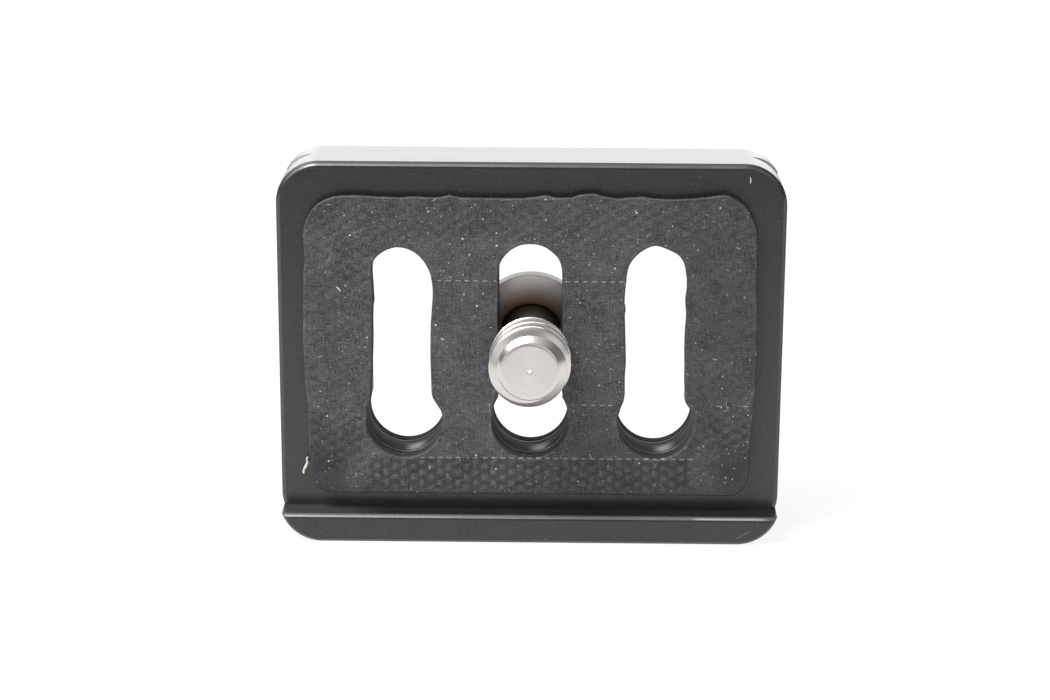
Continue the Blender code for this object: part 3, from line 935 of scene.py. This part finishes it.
def revolved(rows, steps):
    """Joins (y, radius) rows into a surface turned round the screw's axis. A radius may be a function
    of the turn."""
    bm = bmesh.new()
    grid = []
    for y, radius in rows:
        if radius == 0:
            grid.append([bm.verts.new((0, y, SCREW_HEIGHT))])
            continue
        ring = []
        for j in range(steps):
            turn = math.tau * j / steps
            r = radius(turn) if callable(radius) else radius
            ring.append(bm.verts.new((r * math.cos(turn), y, SCREW_HEIGHT + r * math.sin(turn))))
        grid.append(ring)
    for a, b in zip(grid, grid[1:]):
        for j in range(steps):
            k = (j + 1) % steps
            corners = dict.fromkeys((a[j % len(a)], a[k % len(a)], b[k % len(b)], b[j % len(b)]))
            if len(corners) > 2:
                bm.faces.new(list(corners))
    return bm


def thread_radius(turn, along, crest, depth):
    """Radius of the right-hand thread at an angle and a distance in mm towards the tip."""
    phase = (along / THREAD_PITCH - turn / math.tau + 0.207) % 1.0
    from_crest = abs(phase - 0.5) * THREAD_PITCH
    half_flat = THREAD_CREST_FLAT / 2
    flank = min(max(from_crest - half_flat, 0), THREAD_PITCH / 2 - 0.1 - half_flat)
    rise = 1 - min(flank * math.sqrt(3), depth) / depth
    rise = rise * rise * (3 - 2 * rise) * 0.25 + rise * 0.75
    return crest - depth * (1 - rise)


def screw_mesh():
    crest = THREAD_DIAMETER / 2
    neck = NECK_DIAMETER / 2
    head = HEAD_DIAMETER / 2
    runout = 0.5

    def at(y):
        limit = min(TIP_RADIUS + y - TIP_Y, neck + max(0, THREAD_END_Y + runout - y) * 1.65)
        return lambda turn: min(thread_radius(turn, -y, crest, crest - neck - 0.02), limit)

    rows = [(TIP_Y + rise, radius) for rise, radius in (
        (0.005, 0.0), (0.012, 0.08), (0.035, 0.15), (0.035, 0.17), (0, 0.22), (0, 0.26), (0, 1.2),
        (0, 1.9), (0, TIP_RADIUS - 0.06), (0.012, TIP_RADIUS - 0.02))]
    y = TIP_Y + 0.03
    while y < THREAD_END_Y + runout - 0.001:
        rows.append((y, at(y)))
        y += 0.018
    rows += [(y, neck) for y in (THREAD_END_Y + runout, 0.0, 2.5, HEAD_FRONT_Y - 0.1)]
    rows += filleted([(HEAD_FRONT_Y, neck + 0.02), (HEAD_FRONT_Y, head), (HEAD_BACK_Y, head),
                      (HEAD_BACK_Y, 3.0)], 0.15)
    rows.append((HEAD_BACK_Y, 0.0))
    mesh = mesh_from(revolved(rows, 180))
    front, back = HEAD_BACK_Y - COIN_SLOT_DEPTH, HEAD_BACK_Y + 2
    low, high = SCREW_HEIGHT - COIN_SLOT_HALF_WIDTH, SCREW_HEIGHT + COIN_SLOT_HALF_WIDTH
    slot = bar([(front, low), (back, low), (back, high), (front, high)], 8)
    hexagon = arc((0, SCREW_HEIGHT), HEX_SOCKET_RADIUS, 0, 300, 5)
    socket = stacked([(HEAD_BACK_Y - HEX_SOCKET_DEPTH, hexagon), (back, hexagon)])
    return combine(mesh, "DIFFERENCE", slot, socket)


def washer_mesh():
    """A slightly dished friction washer."""
    outer, inner = HEAD_DIAMETER / 2 + 0.05, NECK_DIAMETER / 2 + 0.06
    middle = (WASHER_FRONT_Y + WASHER_BACK_Y) / 2
    rows = [(middle, inner), (WASHER_FRONT_Y + 0.04, inner), (WASHER_FRONT_Y + 0.01, inner + 0.03)]
    for share in [i / 12 for i in range(13)]:
        rows.append((WASHER_FRONT_Y + 0.09 * share ** 2, inner + 0.06 + (outer - inner - 0.12) * share))
    rows += [(WASHER_FRONT_Y + 0.095, outer - 0.02), (WASHER_FRONT_Y + 0.115, outer),
             (WASHER_BACK_Y - 0.04, outer), (WASHER_BACK_Y, outer - 0.04), (WASHER_BACK_Y, inner),
             (middle, inner)]
    bm = revolved(rows, 128)
    bmesh.ops.remove_doubles(bm, verts=bm.verts, dist=0.001)
    return mesh_from(bm)


body = piece("plate_body_fine", body_mesh(), black_anodised, "plate", ["plate_body"], 32)
pad = piece("rubber_pad_woven", pad_mesh(), pad_rubber, "plate", ["rubber_pad"], 50)
piece("camera_screw_threaded", screw_mesh(), turned_steel, "screw",
      ["camera_screw"], 40)
piece("friction_washer_turned", washer_mesh(), washer_steel, "washer",
      ["friction_washer"], 40)


def speck_tree():
    """Specks strewn on the faces that look towards the camera side."""
    tree = bpy.data.node_groups.new("strewn_specks", "GeometryNodeTree")
    names = {}
    for label, kind in (("Geometry", "Geometry"), ("Density", "Float"), ("Smallest", "Float"),
                        ("Largest", "Float"), ("Seed", "Int"), ("Material", "Material")):
        socket = tree.interface.new_socket(label, in_out="INPUT", socket_type="NodeSocket" + kind)
        names[label] = socket.identifier
    tree.interface.new_socket("Geometry", in_out="OUTPUT", socket_type="NodeSocketGeometry")
    given = by_name(add(tree, "NodeGroupInput"))
    frontward = axes(out(add(tree, "GeometryNodeInputNormal")))[1] < -0.6
    scatter = add(tree, "GeometryNodeDistributePointsOnFaces", Mesh=given["Geometry"],
                  Selection=frontward, Density=given["Density"], Seed=given["Seed"])
    grain_shape = add(tree, "GeometryNodeMeshIcoSphere", Radius=1.0, Subdivisions=1)
    size = add(tree, "FunctionNodeRandomValue", data_type="FLOAT", Seed=given["Seed"])
    put(size.inputs[2], given["Smallest"])
    put(size.inputs[3], given["Largest"])
    turn = add(tree, "FunctionNodeRandomValue", (0, 0, 0), (6.28, 6.28, 6.28), data_type="FLOAT_VECTOR")
    stretch = add(tree, "FunctionNodeRandomValue", (0.5, 0.35, 0.5), (1.6, 0.8, 1.1),
                  data_type="FLOAT_VECTOR")
    scale = add(tree, "ShaderNodeVectorMath", out(stretch), operation="SCALE", Scale=out(size, 1))
    place = add(tree, "GeometryNodeInstanceOnPoints", Points=out(scatter, "Points"),
                Instance=out(grain_shape, "Mesh"), Rotation=out(turn), Scale=out(scale))
    realised = add(tree, "GeometryNodeRealizeInstances", Geometry=out(place, "Instances"))
    finished = add(tree, "GeometryNodeSetMaterial", Geometry=out(realised, "Geometry"),
                   Material=given["Material"])
    put(add(tree, "NodeGroupOutput").inputs[0], out(finished, "Geometry"))
    return tree, names


def strewn(name, carrier, density, smallest, largest, seed, material):
    """Specks on the front faces of a piece. Sizes in mm, density per square mm."""
    bm = bmesh.new()
    bm.from_mesh(carrier.data)
    ground = bpy.data.meshes.new("ground")
    bm.to_mesh(ground)
    bm.free()
    thing = add_object(name, ground)
    modifier = thing.modifiers.new("specks", "NODES")
    modifier.node_group = specks_nodes
    for label, value in (("Density", density / MM ** 2), ("Smallest", smallest * MM),
                         ("Largest", largest * MM), ("Seed", seed), ("Material", material)):
        modifier[specks_sockets[label]] = value
    mesh = evaluated(thing)
    thing.modifiers.clear()
    thing.data = mesh
    bpy.data.meshes.remove(ground)
    mesh.name = name
    mesh.shade_smooth()
    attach(thing, "plate")


def fibre(bm, points, radius, steps=6):
    """A hair along a smooth line through the points, its ends closed."""
    padded = [Vector(point) for point in (points[0], *points, points[-1])]
    line = []
    for four in zip(padded, padded[1:], padded[2:], padded[3:]):
        line += [smooth_between(*four, j / 8) for j in range(8)]
    line.append(padded[-1])
    angles = [math.tau * j / steps for j in range(steps)]
    rings = []
    for i, point in enumerate(line):
        along = (line[min(i + 1, len(line) - 1)] - line[max(i - 1, 0)]).normalized()
        side = along.cross(Vector((0, 1, 0))).normalized()
        up = along.cross(side)
        thin = radius * (0.55 + 0.45 * math.sin(math.pi * min(1, (i + 1) / (len(line) + 1))))
        rings.append([point + (side * math.cos(a) + up * math.sin(a)) * thin for a in angles])
    tube(bm, rings)


def fibres_mesh():
    bm = bmesh.new()
    fibre(bm, [(-17.36, -0.62, 6.46), (-17.43, -0.46, 6.22), (-17.4, -0.32, 5.95), (-17.52, -0.2, 5.6),
               (-17.68, -0.14, 5.28), (-17.74, -0.12, 5.02), (-17.71, -0.12, 4.93)], 0.1)
    fibre(bm, [(16.58, -0.05, 28.95), (16.63, -0.08, 28.7), (16.6, -0.05, 28.45)], 0.035)
    fibre(bm, [(-14.85, -0.93, 20.35), (-14.7, -0.96, 20.2), (-14.55, -0.93, 20.0)], 0.045)
    fibre(bm, [(15.3, -0.94, 11.6), (15.15, -0.98, 11.2), (15.35, -1.0, 10.9), (15.1, -0.97, 10.6),
               (14.85, -0.94, 10.75)], 0.006)
    chance = random.Random(11)
    for _ in range(16):
        x, z = chance.uniform(-17, 17), chance.uniform(4, 27.2)
        if any(abs(x - slot) < 3.6 and 5.8 < z < 24.5 for slot in SLOT_X):
            continue
        line = []
        heading = chance.uniform(0, math.tau)
        for j in range(5):
            line.append((x, PAD_FRONT_Y - 0.02 - 0.03 * math.sin(j * 0.8), z))
            x += 0.11 * math.cos(heading)
            z += 0.11 * math.sin(heading)
            heading += chance.uniform(-0.9, 0.9)
        fibre(bm, line, chance.uniform(0.009, 0.016))
    return mesh_from(bm)


def make_fluff(name, pale, warm):
    material, tree, shader = new_material(name, pale, 0.85)
    blotches = ramp(noise(object_point(tree), 1400.0, 1.0), 0.45, 0.57)
    put(shader["Base Color"], mix(blotches, pale, warm))
    return material


specks_nodes, specks_sockets = speck_tree()
fluff = make_fluff("dust_fluff", (0.36, 0.36, 0.35), (0.42, 0.2, 0.09))
lint = make_fluff("pale_lint", (0.62, 0.61, 0.55), (0.55, 0.5, 0.38))
strewn("dust_on_pad", pad, 0.55, 0.014, 0.036, 3, fluff)
strewn("larger_dust_on_pad", pad, 0.06, 0.035, 0.07, 7, lint)
strewn("dust_on_plate", body, 0.55, 0.009, 0.028, 5, fluff)
piece("fibres", fibres_mesh(), lint, "plate")


def make_white_paper():
    """Seen as white by the camera and in reflections, less so far in front, and lit as paper."""
    material, tree, shader = new_material("white_paper", (0.86, 0.86, 0.865), 0.8)
    put(shader["Specular IOR Level"], 0.2)
    rays = by_name(add(tree, "ShaderNodeLightPath"))
    forward = -axes(out(add(tree, "ShaderNodeTexCoord"), "Object"))[1]
    dim = ramp(forward, 50 * MM, 150 * MM) * rays["Is Glossy Ray"]
    glow = add(tree, "ShaderNodeEmission", (1, 1, 1, 1), 1.0 - dim * 0.95)
    seen = rays["Is Camera Ray"].either(rays["Is Glossy Ray"]).either(rays["Is Transmission Ray"])
    both = add(tree, "ShaderNodeMixShader", seen * 0.9, out(tree.nodes["Principled BSDF"]), out(glow))
    put(tree.nodes["Material Output"].inputs["Surface"], out(both))
    return material


def white_sweep():
    """A pale floor that curves up behind, seen as white, with the plate's shadow left on it."""
    profile = [(-1200, 0)] + arc((900, 300), 300, -90, 0, 12) + [(1200, 1400)]
    count = len(profile)
    mesh = bpy.data.meshes.new("sweep")
    mesh.from_pydata([(x * MM, y * MM, z * MM) for x in (-1500, 1500) for y, z in profile], [],
                     [(i, count + i, count + i + 1, i + 1) for i in range(count - 1)])
    mesh.shade_smooth()
    mesh.materials.append(make_white_paper())
    sweep = add_object("white_sweep", mesh)


def softbox(name, place, target, width, height, power):
    light = bpy.data.lights.new(name, "AREA")
    light.shape = "RECTANGLE"
    light.size = width * MM
    light.size_y = height * MM
    light.energy = power
    lamp = add_object(name, light)
    lamp.location = Vector(place) * MM
    direction = Vector(target) * MM - lamp.location
    lamp.rotation_euler = direction.to_track_quat("-Z", "Y").to_euler()


def make_world():
    """A dim room for reflections, white behind the plate. Seen by the camera it is plain white."""
    world = bpy.data.worlds.new("studio")
    bpy.context.scene.world = world
    world.use_nodes = True
    tree = world.node_tree
    y, z = axes(out(add(tree, "ShaderNodeTexCoord"), "Generated"))[1:]
    room = ramp(y, 0.6, 0.85) * 0.8 + 0.2
    room = ramp(-y, 0.3, 0.8) * (1.0 - ramp(z, 0.3, 0.65)) * 0.7 + room
    room = ramp(z, 0.5, 0.96) * 0.42 + room
    rays = by_name(add(tree, "ShaderNodeLightPath"))
    lit = (1.0 - rays["Is Glossy Ray"]) * WORLD_LEVEL + rays["Is Glossy Ray"] * room
    seen = rays["Is Camera Ray"].either(rays["Is Transmission Ray"])
    background = tree.nodes["Background"].inputs
    put(background["Color"], (1, 1, 1, 1))
    put(background["Strength"], lit.either(seen))


def make_camera():
    data = bpy.data.cameras.new("camera")
    data.sensor_width = SENSOR_WIDTH
    data.lens = FOCAL_LENGTH / PHOTO_WIDTH * SENSOR_WIDTH
    data.clip_start = 0.005
    camera = add_object("camera", data)
    turn, tilt, roll = [Matrix.Rotation(math.radians(angle), 4, axis) for angle, axis in (
        (CAMERA_TURN, "Z"), (90 - CAMERA_TILT, "X"), (CAMERA_ROLL, "Z"))]
    camera.matrix_world = turn @ Matrix.Translation(Vector(CAMERA_PLACE) * MM) @ tilt @ roll
    bpy.context.scene.camera = camera


white_sweep()
softbox("left_softbox", (-290, -190, 570), (0, 0, 10), 380, 380, 9.0)
softbox("back_softbox", (-60, 700, 240), (0, 0, 15), 1400, 480, 3.75)
make_world()
make_camera()
bpy.context.scene.view_settings.view_transform = "Standard"
